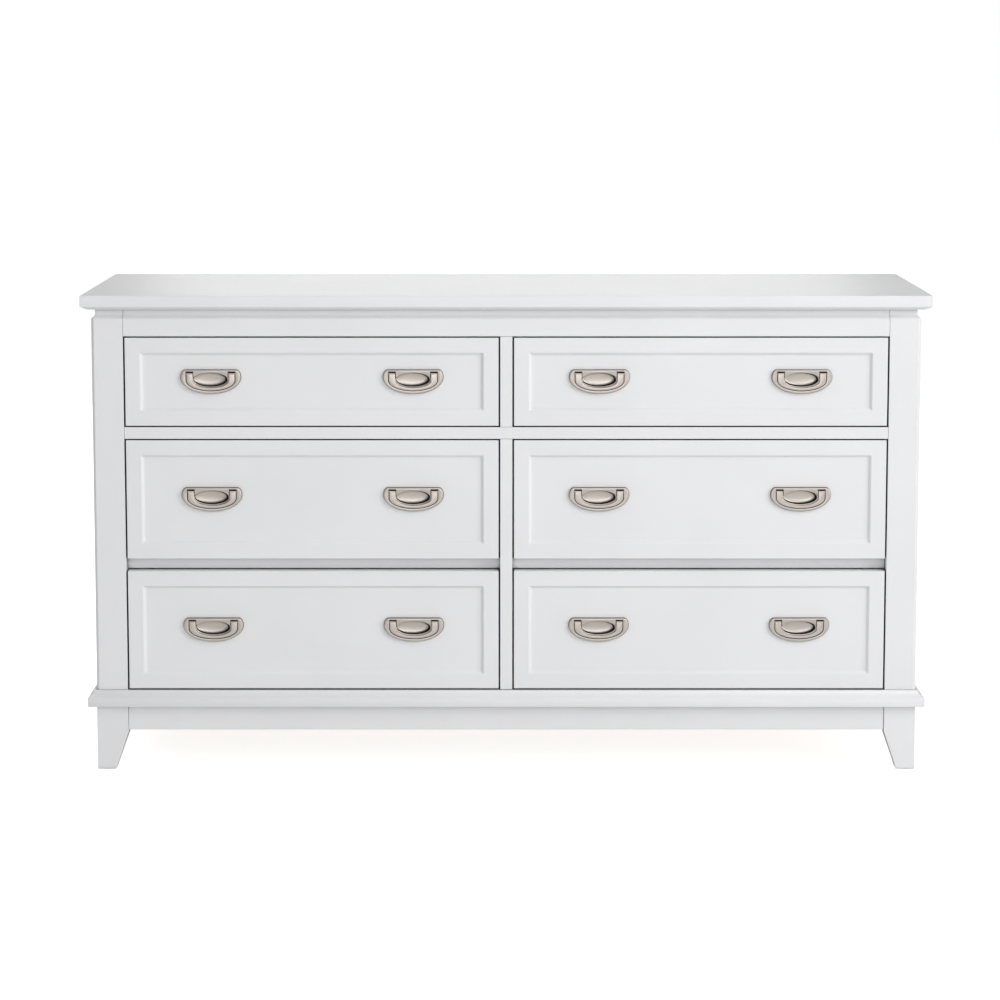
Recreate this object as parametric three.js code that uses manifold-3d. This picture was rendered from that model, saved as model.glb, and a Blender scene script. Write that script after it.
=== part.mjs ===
// A six-drawer double dresser with a moulded base, tapered feet and drop-bail pulls.
// Millimetres, +Z up, front facing -Y, origin on the floor at the middle of the footprint.

import * as THREE from 'three';
import { mergeVertices } from 'three/addons/utils/BufferGeometryUtils.js';
import Module from 'manifold-3d';

const wasm = await Module();
wasm.setup();

// ---- Driving dimensions ------------------------------------------------------------------

const TOUCH = 0.3;              // space left between pieces that meet

// Outer sizes
const TOP_WIDTH = 1500;
const DEPTH = 485;
const OVERHANG = 17;            // top beyond the case, at the front and both sides

// Heights, from the floor up
const FOOT_TAPER = 70;          // the posts narrow below this
const APRON_BOTTOM = 72.5;
const BAND_BOTTOM = 117.5;      // underside of the base moulding
const BASE_TOP = 146;           // top of the base moulding and of the bottom rail
const DRAWER_GAP = 2;           // above and below an inset drawer front
const DEEP_FRONT = 213.5;
const SHALLOW_FRONT = 157.5;
const OPEN_BAND = 22;           // between the two deep rows, where the rail is set back
const SILL_DROP = 1;            // below the middle fronts, from their edge to the rail
const RAIL = 21;                // height of the rail under the shallow row
const TOP_RAIL_FACE = 31.5;
const SHOULDER = 5.5;           // slope from the face up to the neck
const NECK_HEIGHT = 10.5;

// Top board
const TOP_EDGE = 20.5;
const TOP_CHAMFER = new THREE.Vector2(12, 5.5);
const TOP_ARRIS = 1.2;

// Case
const POST = 56;
const POST_CHAMFER = 4.5;
const FOOT = 33;
const FOOT_ARRIS = 0.8;
const NECK_INSET = 6.5;
const FACE_FRAME = 22;          // thickness of the rails and stiles
const STILE = 21.5;
const APRON_INSET = 2;
const SIDE_PANEL = 18;
const BACK_PANEL = 5;
const BACK_INSET = 8;
const PARTITION = 18;
const MOULDING = 14.5;          // how far the base moulding stands out
const COVE_BOTTOM = 133;        // the moulding is flat below this and hollow above
const COVE_CONTROL = new THREE.Vector2(5.5, 138.5);
const COVE_TOP = new THREE.Vector2(4.5, 144.5);
const COVE_STEPS = 4;
const MOULDING_LIP = 3.5;
const CHAMFER_STOP = 1;         // height over which a post's chamfer starts

// Dust frames, which carry the drawers
const SILL = 20;
const SILL_RAIL = 55;
const DUST_PANEL = 4;
const GUIDE_HEIGHT = 15;
const GUIDE_PLAY = 2;
const LAP = 105;                // half-lap with the partition, from the front

// Drawers
const SIDE_GAP = 2.5;           // beside an inset drawer front
const FRONT = 20;
const FRONT_ARRIS = 0.8;
const FRAME = 25.5;             // flat border round the sunk panel
const PANEL_BEVEL = 6.5;
const PANEL_SINK = 5;
const BOX_PLAY = 3.5;
const BOX_RISE = 0.5;
const BOX_DEPTH = 410;
const BOX_WALL = 12;
const DEEP_BOX = 165;
const SHALLOW_BOX = 125;
const BOTTOM = 5;
const BOTTOM_RISE = 10;
const GROOVE = 6;

// Pulls: u to the right, w up, t out of the drawer's sunk panel
const PULL_SPACING = 358;
const PLATE_HALF = 54;
const PLATE_TOP = 21.85;
const PLATE_BELLY = 8;          // height of the plate's widest line
const PLATE_CORNER = 9;
const PLATE_LEVELS = [[TOUCH, 0], [2.5, 0], [5, 1], [6, 2.4]];
const LEG_OUT = 43.3;
const LEG_IN = 31.2;
const BAIL_BELLY = 2.3;
const BAIL_BOTTOM = -15.9;
const BAIL = 4.4;               // thickness of the bail, and diameter of its knuckles
const PIVOT = new THREE.Vector2(14, 3.7);
const FIT = 0.4;                // play round the bail
const POCKET_FLOOR = 1.1;
const SLOT_TOP = 18.5;
const CUP = { w: 2.75, rx: 31.8, ry: 13.45 };
const CUP_LEVELS = [[-8, 7.8, 4.95], [-4, 2.8, 1.5], [POCKET_FLOOR, 0, 0], [7, 0, 0]];
const CUP_WALL = 1.2;
const CUP_HOLE = 10.5;
const PIN = { radius: 1, length: 1.6, clearance: 0.35 };

const ARC_STEPS = 12;
const CORNER_STEPS = 3;
const CUP_STEPS = 20;
const ROUND_STEPS = 8;

// Places that follow from the sizes
const CASE = TOP_WIDTH / 2 - OVERHANG;
const FACE_Y = OVERHANG - DEPTH / 2;
const BACK_Y = DEPTH / 2;
const FRAME_BACK = FACE_Y + FACE_FRAME;
const POST_BACK = FACE_Y + POST;
const REAR_POST = BACK_Y - POST;
const PANEL_Y = BACK_Y - BACK_INSET - BACK_PANEL;
const OPENING = CASE - POST;
const BAY = OPENING - STILE / 2;
const INNER = CASE - NECK_INSET - SIDE_PANEL;

const LOWER = BASE_TOP + DRAWER_GAP;
const MIDDLE = LOWER + DEEP_FRONT + OPEN_BAND;
const RAIL_BOTTOM = MIDDLE + DEEP_FRONT + DRAWER_GAP;
const RAIL_TOP = RAIL_BOTTOM + RAIL;
const UPPER = RAIL_TOP + DRAWER_GAP;
const TOP_RAIL_BOTTOM = UPPER + SHALLOW_FRONT + DRAWER_GAP;
const SHOULDER_BOTTOM = TOP_RAIL_BOTTOM + TOP_RAIL_FACE;
const NECK_BOTTOM = SHOULDER_BOTTOM + SHOULDER;
const CASE_TOP = NECK_BOTTOM + NECK_HEIGHT;

const ROWS = [
  { name: 'upper', bottom: UPPER, height: SHALLOW_FRONT, box: SHALLOW_BOX, sill: RAIL_TOP },
  { name: 'middle', bottom: MIDDLE, height: DEEP_FRONT, box: DEEP_BOX, sill: MIDDLE - SILL_DROP },
  { name: 'lower', bottom: LOWER, height: DEEP_FRONT, box: DEEP_BOX, sill: BASE_TOP },
];
const SIDES = [{ name: 'left', sign: -1 }, { name: 'right', sign: 1 }];

// ---- Shapes ------------------------------------------------------------------------------

function outlineOf(pairs) {
  return pairs.map(([x, y]) => new THREE.Vector2(x, y));
}

function rectangle(x0, x1, y0, y1) {
  return outlineOf([[x0, y0], [x1, y0], [x1, y1], [x0, y1]]);
}

function insetRectangle(halfWidth, height, inset) {
  return rectangle(inset - halfWidth, halfWidth - inset, inset, height - inset);
}

// Points on an elliptical arc, both ends included.
function arc(cx, cy, rx, ry, from, to, steps) {
  return Array.from({ length: steps + 1 }, (_, i) => {
    const angle = THREE.MathUtils.lerp(from, to, i / steps);
    return new THREE.Vector2(cx + rx * Math.cos(angle), cy + ry * Math.sin(angle));
  });
}

function ellipse(cx, cy, rx, ry, steps) {
  return arc(cx, cy, rx, ry, 0, 2 * Math.PI, steps).slice(0, -1);
}

// Closed solid through outlines with equal point counts, each [height, outline], flat at both
// ends. Outlines run anticlockwise seen from +Z.
function stack(levels) {
  const count = levels[0][1].length;
  const points = levels.flatMap(([z, outline]) => outline.flatMap((p) => [p.x, p.y, z]));
  const index = [];
  for (let level = 0; level + 1 < levels.length; level++) {
    for (let i = 0; i < count; i++) {
      const a = level * count + i;
      const b = level * count + (i + 1) % count;
      index.push(a, b, b + count, a, b + count, a + count);
    }
  }
  const last = (levels.length - 1) * count;
  for (const [a, b, c] of THREE.ShapeUtils.triangulateShape(levels[0][1], [])) index.push(a, c, b);
  for (const [a, b, c] of THREE.ShapeUtils.triangulateShape(levels.at(-1)[1], [])) {
    index.push(last + a, last + b, last + c);
  }
  const geometry = new THREE.BufferGeometry();
  geometry.setAttribute('position', new THREE.Float32BufferAttribute(points, 3));
  geometry.setIndex(index);
  return geometry;
}

function prism(outline, from, to) {
  return stack([[from, outline], [to, outline]]);
}

function box(x0, x1, y0, y1, z0, z1) {
  return prism(rectangle(x0, x1, y0, y1), z0, z1);
}

// Prism along X from an outline given as [y, z] pairs.
function railAlongX(pairs, x0, x1) {
  return prism(outlineOf(pairs), x0, x1).applyMatrix4(new THREE.Matrix4().set(
    0, 0, 1, 0, 1, 0, 0, 0, 0, 1, 0, 0, 0, 0, 0, 1));
}

// Prism along Y from an outline given as [x, z] pairs, clockwise seen from the front.
function boardAlongY(pairs, y0, y1) {
  return prism(outlineOf(pairs), -y1, -y0).rotateX(Math.PI / 2);
}

function barAlongX(radius, x0, x1, y, z) {
  return new THREE.CylinderGeometry(radius, radius, x1 - x0, ROUND_STEPS)
    .rotateZ(Math.PI / 2).translate((x0 + x1) / 2, y, z);
}

// ---- Joining and cutting -----------------------------------------------------------------

function solid(geometry) {
  const bare = geometry.clone();
  bare.deleteAttribute('normal');
  bare.deleteAttribute('uv');
  const merged = mergeVertices(bare);
  return new wasm.Manifold(new wasm.Mesh({
    numProp: 3,
    vertProperties: merged.attributes.position.array,
    triVerts: Uint32Array.from(merged.index.array),
  }));
}

function join(geometries) {
  return geometries.map(solid).reduce((whole, piece) => whole.add(piece));
}

function cut(whole, geometries) {
  return geometries.map(solid).reduce((rest, tool) => rest.subtract(tool), whole);
}

function geometryOf(manifold) {
  const mesh = manifold.getMesh();
  const geometry = new THREE.BufferGeometry();
  geometry.setAttribute('position', new THREE.BufferAttribute(mesh.vertProperties, mesh.numProp));
  geometry.setIndex(new THREE.BufferAttribute(mesh.triVerts, 1));
  return geometry;
}

// ---- Case pieces -------------------------------------------------------------------------

function topBoard() {
  const half = TOP_WIDTH / 2;
  const level = (inset, backInset = 0) =>
    rectangle(inset - half, half - inset, inset - DEPTH / 2, BACK_Y - backInset);
  const edgeBottom = CASE_TOP + TOP_CHAMFER.y;
  const top = edgeBottom + TOP_EDGE;
  return stack([
    [CASE_TOP + TOUCH, level(TOP_CHAMFER.x)],
    [edgeBottom, level(0)],
    [top - TOP_ARRIS, level(0)],
    [top, level(TOP_ARRIS, TOP_ARRIS)],
  ]);
}

// Section of the front left post: its outer corner is cut off, its inner faces can be drawn in.
function postSection(width, chamfer, neck) {
  const outX = neck - CASE;
  const outY = FACE_Y + neck;
  return outlineOf([
    [outX + chamfer, outY], [width - CASE, outY], [width - CASE, FACE_Y + width],
    [outX, FACE_Y + width], [outX, outY + chamfer],
  ]);
}

function frontPost() {
  return stack([
    [0, postSection(FOOT, FOOT_ARRIS, 0)],
    [FOOT_TAPER, postSection(POST, FOOT_ARRIS, 0)],
    [BASE_TOP - CHAMFER_STOP, postSection(POST, FOOT_ARRIS, 0)],
    [BASE_TOP, postSection(POST, POST_CHAMFER, 0)],
    [SHOULDER_BOTTOM, postSection(POST, POST_CHAMFER, 0)],
    [NECK_BOTTOM, postSection(POST, FOOT_ARRIS, NECK_INSET)],
    [CASE_TOP, postSection(POST, FOOT_ARRIS, NECK_INSET)],
  ]);
}

// Section of the rear left post: square at the back, drawn in at the side only.
function rearSection(width, neck) {
  return outlineOf([
    [neck - CASE, BACK_Y - width], [width - CASE, BACK_Y - width], [width - CASE, BACK_Y],
    [neck - CASE, BACK_Y],
  ]);
}

function rearPost() {
  return stack([
    [0, rearSection(FOOT, 0)],
    [FOOT_TAPER, rearSection(POST, 0)],
    [SHOULDER_BOTTOM, rearSection(POST, 0)],
    [NECK_BOTTOM, rearSection(POST, NECK_INSET)],
    [CASE_TOP, rearSection(POST, NECK_INSET)],
  ]);
}

function topRail() {
  const neck = FACE_Y + NECK_INSET;
  return railAlongX([
    [FACE_Y, TOP_RAIL_BOTTOM], [FRAME_BACK, TOP_RAIL_BOTTOM], [FRAME_BACK, CASE_TOP],
    [neck, CASE_TOP], [neck, NECK_BOTTOM], [FACE_Y, SHOULDER_BOTTOM],
  ], TOUCH - OPENING, OPENING - TOUCH);
}

function midRail() {
  return box(TOUCH - OPENING, OPENING - TOUCH, FACE_Y, FRAME_BACK, RAIL_BOTTOM, RAIL_TOP);
}

function stile(from, to) {
  return box(-STILE / 2, STILE / 2, FACE_Y, FRAME_BACK, from + TOUCH, to - TOUCH);
}

// Bottom rail and apron in one board, stepped back below the moulding.
function apron() {
  const low = FACE_Y + APRON_INSET;
  return railAlongX([
    [low, APRON_BOTTOM], [FRAME_BACK, APRON_BOTTOM], [FRAME_BACK, BASE_TOP],
    [FACE_Y, BASE_TOP], [FACE_Y, BAND_BOTTOM], [low, BAND_BOTTOM],
  ], TOUCH - OPENING, OPENING - TOUCH);
}

// Right side: a sunk panel over a bottom rail that the moulding covers.
function sidePanel() {
  const sunk = CASE - NECK_INSET;
  const low = CASE - APRON_INSET;
  return boardAlongY([
    [INNER, APRON_BOTTOM], [low, APRON_BOTTOM], [low, BAND_BOTTOM], [CASE, BAND_BOTTOM],
    [CASE, BASE_TOP], [sunk, BASE_TOP], [sunk, CASE_TOP], [INNER, CASE_TOP],
  ], POST_BACK + TOUCH, REAR_POST - TOUCH);
}

function backPanel() {
  return box(TOUCH - OPENING, OPENING - TOUCH, PANEL_Y, PANEL_Y + BACK_PANEL,
    APRON_BOTTOM, CASE_TOP);
}

// Moulding round the front and both sides, mitred at the front corners.
function baseMoulding() {
  const level = (stand) => {
    const outX = CASE + stand;
    const inX = CASE + TOUCH;
    return outlineOf([
      [-outX, BACK_Y], [-outX, FACE_Y - stand], [outX, FACE_Y - stand], [outX, BACK_Y],
      [inX, BACK_Y], [inX, FACE_Y - TOUCH], [-inX, FACE_Y - TOUCH], [-inX, BACK_Y],
    ]);
  };
  const cove = new THREE.QuadraticBezierCurve(
    new THREE.Vector2(MOULDING, COVE_BOTTOM), COVE_CONTROL, COVE_TOP);
  return stack([
    [BAND_BOTTOM, level(MOULDING)],
    ...cove.getPoints(COVE_STEPS).map((p) => [p.y, level(p.x)]),
    [BASE_TOP, level(MOULDING_LIP)],
  ]);
}

// Frame under a row of drawers, with a thin dust panel, drawer guides at its ends and, where
// the partition crosses it, a slot from the back.
function dustFrame(top, slotted) {
  const bottom = top - SILL;
  const wide = INNER - TOUCH;
  const narrow = OPENING - TOUCH;
  const front = FRAME_BACK + TOUCH;
  const back = PANEL_Y - TOUCH;
  const outline = box(-narrow, narrow, front, back, bottom, top);
  const ends = box(-wide, wide, POST_BACK + TOUCH, REAR_POST - TOUCH, bottom, top);
  const guides = SIDES.map(({ sign }) => {
    const from = sign * (BAY + STILE / 2 - BOX_PLAY + GUIDE_PLAY);
    return box(Math.min(from, sign * wide), Math.max(from, sign * wide),
      POST_BACK + TOUCH, REAR_POST - TOUCH, bottom, top + GUIDE_HEIGHT);
  });
  const hollows = SIDES.flatMap(({ sign }) => {
    const x = [sign * SILL_RAIL, sign * (OPENING - SILL_RAIL)].sort((a, b) => a - b);
    const y = [front + SILL_RAIL, back - SILL_RAIL];
    const middle = (top + bottom) / 2;
    return [
      box(...x, ...y, middle + DUST_PANEL / 2, top + 1),
      box(...x, ...y, bottom - 1, middle - DUST_PANEL / 2),
    ];
  });
  if (slotted) {
    const half = PARTITION / 2 + TOUCH;
    hollows.push(box(-half, half, front + LAP, back + 1, bottom - 1, top + 1));
  }
  return geometryOf(cut(join([outline, ends, ...guides]), hollows));
}

// Upright board between the two bays, slotted from the front over the upper dust frames.
function centrePartition() {
  const front = FRAME_BACK + TOUCH;
  const board = box(-PARTITION / 2, PARTITION / 2, front, PANEL_Y - TOUCH,
    BASE_TOP + TOUCH, CASE_TOP);
  const slots = ROWS.filter((row) => row.sill > BASE_TOP).map((row) =>
    box(-PARTITION, PARTITION, front - 1, front + LAP + TOUCH,
      row.sill - SILL - TOUCH, row.sill + TOUCH));
  return geometryOf(cut(solid(board), slots));
}

// ---- Drawer pieces -----------------------------------------------------------------------
// A front is drawn flat, x across, y up and z out of the drawer, and stood up by its group.

function pullPlaces(height) {
  return [-1, 1].map((sign) => new THREE.Vector2(sign * PULL_SPACING / 2, height / 2));
}

function drawerFront(height) {
  const half = (BAY - 2 * SIDE_GAP) / 2;
  const level = (inset) => insetRectangle(half, height, inset);
  const board = stack([
    [0, level(0)],
    [FRONT - FRONT_ARRIS, level(0)],
    [FRONT, level(FRONT_ARRIS)],
    [FRONT, level(FRAME)],
    [FRONT - PANEL_SINK, level(FRAME + PANEL_BEVEL)],
  ]);
  const face = FRONT - PANEL_SINK;
  const holes = pullPlaces(height).map((place) => prism(
    ellipse(place.x, place.y + CUP.w, CUP.rx + 2 * CUP_WALL, CUP.ry + 2 * CUP_WALL, CUP_STEPS),
    face - CUP_HOLE, face + 1));
  return geometryOf(cut(solid(board), holes));
}

// Four walls with a groove round the inside that holds the bottom.
function drawerBox(height) {
  const half = BAY / 2 - BOX_PLAY;
  const wall = rectangle(-half, half, 0, BOX_DEPTH);
  const inside = rectangle(BOX_WALL - half, half - BOX_WALL, BOX_WALL, BOX_DEPTH - BOX_WALL);
  const groove = BOX_WALL - GROOVE;
  return geometryOf(cut(solid(prism(wall, 0, height)), [
    prism(inside, -1, height + 1),
    box(groove - half, half - groove, groove, BOX_DEPTH - groove,
      BOTTOM_RISE, BOTTOM_RISE + BOTTOM),
  ]));
}

function drawerBottom() {
  const inset = BOX_WALL - GROOVE + TOUCH;
  const half = BAY / 2 - BOX_PLAY - inset;
  return box(-half, half, inset, BOX_DEPTH - inset,
    BOTTOM_RISE + TOUCH, BOTTOM_RISE + BOTTOM - TOUCH);
}

// ---- Pull --------------------------------------------------------------------------------

function plateOutline(inset) {
  const corner = PLATE_HALF - PLATE_CORNER;
  const rise = PLATE_TOP - PLATE_BELLY - inset;
  const quarter = Math.PI / 2;
  return [
    ...arc(corner, PLATE_BELLY, PLATE_CORNER - inset, rise, 0, quarter, CORNER_STEPS),
    ...arc(-corner, PLATE_BELLY, PLATE_CORNER - inset, rise, quarter, Math.PI, CORNER_STEPS),
    ...arc(0, PLATE_BELLY, PLATE_HALF - inset, PLATE_TOP + PLATE_BELLY - inset,
      Math.PI, 2 * Math.PI, ARC_STEPS).slice(1, -1),
  ];
}

function bailCurve(outset) {
  return arc(0, BAIL_BELLY, LEG_OUT + outset, BAIL_BELLY - BAIL_BOTTOM + outset,
    Math.PI, 2 * Math.PI, ARC_STEPS);
}

// Short bars along the pivot line, from and to measured from the middle, one at each side.
function pivotBars(radius, from, to) {
  return [[from, to], [-to, -from]].map(([x0, x1]) => barAlongX(radius, x0, x1, PIVOT.x, PIVOT.y));
}

// Back plate: a domed rim, a pocket for the bail and a dished finger cup behind it.
function pullPlate() {
  const cup = (wall, levels) => stack(levels.map(([t, inX, inW]) =>
    [t, ellipse(0, CUP.w, CUP.rx - inX + wall, CUP.ry - inW + wall, CUP_STEPS)]));
  const shell = CUP_LEVELS.slice(0, 3).map(([t, ...insets]) => [t - CUP_WALL, ...insets]);
  const body = join([
    stack(PLATE_LEVELS.map(([t, inset]) => [t, plateOutline(inset)])),
    cup(CUP_WALL, [...shell, [1, 0, 0]]),
  ]);
  const tongue = LEG_IN - FIT;
  const pocket = [
    ...bailCurve(FIT),
    ...outlineOf([
      [LEG_OUT + FIT, SLOT_TOP], [tongue, SLOT_TOP], [tongue, CUP.w],
      [-tongue, CUP.w], [-tongue, SLOT_TOP], [-LEG_OUT - FIT, SLOT_TOP],
    ]),
  ];
  return geometryOf(cut(body, [
    prism(pocket, POCKET_FLOOR, PLATE_LEVELS.at(-1)[0] + 1),
    cup(0, CUP_LEVELS),
    ...pivotBars(PIN.radius + PIN.clearance, LEG_OUT - 1, LEG_OUT + PIN.length + FIT),
  ]));
}

// Drop bail: two legs and a belly round the cup, with round knuckles and stub pins.
function pullBail() {
  const meet = Math.asin((BAIL_BELLY - CUP.w) / CUP.ry);
  const from = PIVOT.y - BAIL / 2;
  const inner = arc(0, CUP.w, CUP.rx, CUP.ry, 2 * Math.PI + meet, Math.PI - meet, ARC_STEPS);
  const outline = [
    ...bailCurve(0),
    ...outlineOf([[LEG_OUT, PIVOT.x], [LEG_IN, PIVOT.x]]),
    ...inner,
    ...outlineOf([[-LEG_IN, PIVOT.x], [-LEG_OUT, PIVOT.x]]),
  ];
  return geometryOf(join([
    prism(outline, from, from + BAIL),
    ...pivotBars(BAIL / 2, LEG_IN, LEG_OUT),
    ...pivotBars(PIN.radius, LEG_OUT - 1, LEG_OUT + PIN.length),
  ]));
}

// ---- Materials ---------------------------------------------------------------------------

const FINISHES = {
  paint: { color: 0xe9e9ea, roughness: 0.45, metalness: 0 },
  boxWood: { color: 0xd8bd93, roughness: 0.6, metalness: 0 },
  board: { color: 0xcfae80, roughness: 0.75, metalness: 0 },
  nickel: { color: 0xc8c0b8, roughness: 0.32, metalness: 1 },
};

function mesh(name, geometry, finish) {
  const piece = new THREE.Mesh(geometry, new THREE.MeshStandardMaterial(FINISHES[finish]));
  piece.name = name;
  return piece;
}

// Copy of a geometry on the other side of the middle plane, still facing out.
function mirrored(geometry) {
  const copy = geometry.clone().scale(-1, 1, 1);
  const index = copy.index.array;
  for (let i = 0; i < index.length; i += 3) [index[i], index[i + 1]] = [index[i + 1], index[i]];
  return copy;
}

// ---- Assembly ----------------------------------------------------------------------------

const dresser = new THREE.Group();

const sidePieces = [
  ['post_front', frontPost(), -1],
  ['post_rear', rearPost(), -1],
  ['side_panel', sidePanel(), 1],
];
for (const [name, geometry, drawnSide] of sidePieces) {
  for (const side of SIDES) {
    const placed = side.sign === drawnSide ? geometry : mirrored(geometry);
    dresser.add(mesh(`${name}_${side.name}`, placed, 'paint'));
  }
}

dresser.add(
  mesh('top_panel', topBoard(), 'paint'),
  mesh('top_rail', topRail(), 'paint'),
  mesh('mid_rail', midRail(), 'paint'),
  mesh('stile_upper', stile(RAIL_TOP, TOP_RAIL_BOTTOM), 'paint'),
  mesh('stile_lower', stile(BASE_TOP, RAIL_BOTTOM), 'paint'),
  mesh('apron', apron(), 'paint'),
  mesh('base_moulding', baseMoulding(), 'paint'),
  mesh('centre_partition', centrePartition(), 'board'),
  mesh('back_panel', backPanel(), 'board'),
);
for (const row of ROWS) {
  dresser.add(mesh(`dust_frame_${row.name}`, dustFrame(row.sill, row.sill > BASE_TOP), 'paint'));
}

const plateGeometry = pullPlate();
const bailGeometry = pullBail();

for (const row of ROWS) {
  for (const side of SIDES) {
    const place = `${row.name}_${side.name}`;
    const bayCentre = side.sign * (STILE + BAY) / 2;

    const front = new THREE.Group();
    front.position.set(bayCentre, FACE_Y + FRONT, row.bottom);
    front.rotation.x = Math.PI / 2;
    front.add(mesh(`drawer_front_${place}`, drawerFront(row.height), 'paint'));
    for (const spot of pullPlaces(row.height)) {
      const pull = new THREE.Group();
      const nearness = spot.x * side.sign > 0 ? 'outer' : 'inner';
      pull.position.set(spot.x, spot.y, FRONT - PANEL_SINK);
      pull.add(
        mesh(`pull_plate_${place}_${nearness}`, plateGeometry, 'nickel'),
        mesh(`pull_bail_${place}_${nearness}`, bailGeometry, 'nickel'),
      );
      front.add(pull);
    }

    const boxGroup = new THREE.Group();
    boxGroup.position.set(bayCentre, FACE_Y + FRONT + TOUCH, row.sill + BOX_RISE);
    boxGroup.add(
      mesh(`drawer_box_${place}`, drawerBox(row.box), 'boxWood'),
      mesh(`drawer_bottom_${place}`, drawerBottom(), 'board'),
    );
    dresser.add(front, boxGroup);
  }
}

export default dresser;
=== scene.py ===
"""A white six-drawer dresser: the looks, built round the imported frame."""

import math

import bmesh
import bpy
from mathutils import Matrix, Vector
from mathutils.geometry import interpolate_bezier


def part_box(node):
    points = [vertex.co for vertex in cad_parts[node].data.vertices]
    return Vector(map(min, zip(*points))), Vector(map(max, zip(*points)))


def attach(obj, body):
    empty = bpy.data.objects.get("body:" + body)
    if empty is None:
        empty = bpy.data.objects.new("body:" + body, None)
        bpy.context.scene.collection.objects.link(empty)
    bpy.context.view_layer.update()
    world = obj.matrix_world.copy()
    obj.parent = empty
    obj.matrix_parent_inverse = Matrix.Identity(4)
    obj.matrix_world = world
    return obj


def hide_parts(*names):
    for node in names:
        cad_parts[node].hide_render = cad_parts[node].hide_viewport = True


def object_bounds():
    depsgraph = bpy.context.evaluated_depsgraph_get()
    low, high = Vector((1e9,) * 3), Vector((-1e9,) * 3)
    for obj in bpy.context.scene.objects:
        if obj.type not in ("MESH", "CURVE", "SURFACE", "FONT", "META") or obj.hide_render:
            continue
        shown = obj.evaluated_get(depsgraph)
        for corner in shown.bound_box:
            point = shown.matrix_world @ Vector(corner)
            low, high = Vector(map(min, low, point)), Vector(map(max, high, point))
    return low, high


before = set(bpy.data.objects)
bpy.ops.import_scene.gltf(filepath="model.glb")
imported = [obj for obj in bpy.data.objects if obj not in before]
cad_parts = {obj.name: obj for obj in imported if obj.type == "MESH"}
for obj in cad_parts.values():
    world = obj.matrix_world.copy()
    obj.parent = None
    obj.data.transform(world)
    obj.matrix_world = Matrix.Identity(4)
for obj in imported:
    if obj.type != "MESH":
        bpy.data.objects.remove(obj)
CAD_LOW, CAD_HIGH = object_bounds()

bl_info = {
    "name": "Dresser",
    "version": (1, 0, 0),
    "blender": (4, 5, 0),
    "location": "View3D > Sidebar > Dresser",
    "description": "Builds a six-drawer dresser with drop-bail pulls",
    "category": "Add Mesh",
}

SIDES = (("left", -1), ("right", 1))
ROWS = ("upper", "middle", "lower")
PLACES = tuple(f"{row}_{side}" for row in ROWS for side, _ in SIDES)
CARCASS = "carcass"
SHARP = math.radians(20)
RIGHT_ANGLE = math.pi / 2
GAP_REACH = 0.014       # how near a surface has to be to count as the other side of a gap, for the painted gap shade
HAIR = 0.0003           # clearance between pieces that meet
NEAR = 1e-6             # two places closer than this are the same
PLATE_DEPTH = 0.006     # how far a back plate stands out of the drawer's panel

# Each soft light: its name, degrees round to the right and up, distance and size.
SOFTBOXES = (
    ("window_low", (60, 15), 5.0, 2.0),
    ("window_high", (40, 40), 5.0, 2.0),
    ("front", (0, 15), 5.0, 2.5),
    ("ceiling", (0, 84), 3.4, 3.4),
    ("rear_left", (230, 35), 5.0, 2.5),
    ("rear_low", (180, 12), 5.0, 2.5),
)


# ---- Settings --------------------------------------------------------------------------------


def millimetres(name, description, value):
    return bpy.props.FloatProperty(
        name=name, description=description, default=value / 1000, min=0, unit="LENGTH", precision=5
    )


def colour(name, description, *rgb):
    return bpy.props.FloatVectorProperty(
        name=name, description=description, default=rgb, min=0, max=1, subtype="COLOR", size=3
    )


def share(name, description, value, high=1.0):
    return bpy.props.FloatProperty(
        name=name, description=description, default=value, min=0, max=high, subtype="FACTOR"
    )


def watts(name, description, value):
    return bpy.props.FloatProperty(name=name, description=description, default=value, subtype="POWER")


class DresserCase(bpy.types.PropertyGroup):
    """Sizes of the case and its mouldings."""

    arris: millimetres("Arris", "Rounding of the case's edges", 0.7)
    top_arris: millimetres("Top arris", "Rounding of the top board's edges", 1.2)
    chamfer_depth: millimetres("Chamfer depth", "Slope under the top board, inwards", 12)
    chamfer_height: millimetres("Chamfer height", "Slope under the top board, upwards", 5.5)
    foot: millimetres("Foot", "Width of a foot at the floor", 33)
    taper: millimetres("Taper", "Height at which a foot reaches its full width", 70)
    post_chamfer: millimetres("Post chamfer", "Flat on the outer corner of a front post", 4.5)
    neck: millimetres("Neck", "How far the neck is drawn in under the top", 6.5)
    neck_height: millimetres("Neck height", "Height of the neck", 10.5)
    shoulder: millimetres("Shoulder", "Height of the slope under the neck", 5.5)
    apron_step: millimetres("Apron step", "How far the apron is set back", 2)
    cove_bottom: millimetres("Cove bottom", "Flat height of the base moulding", 15.5)
    cove_lip: millimetres("Cove lip", "How far the moulding's upper lip stands out", 4.5)
    side_board: millimetres("Side board", "Thickness of the side panels", 18)
    guide: millimetres("Guide", "Height of the drawer guides", 15)
    sill_rail: millimetres("Sill rail", "Width of the dust frames' rails", 55)
    dust_panel: millimetres("Dust panel", "Thickness of the dust panels", 4)
    glide: millimetres("Glide", "Height of the glides under the feet", 1.6)
    glide_radius: millimetres("Glide radius", "Radius of the glides under the feet", 11)
    nail_spacing: millimetres("Nail spacing", "Distance between the back's nails", 95)


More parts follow.
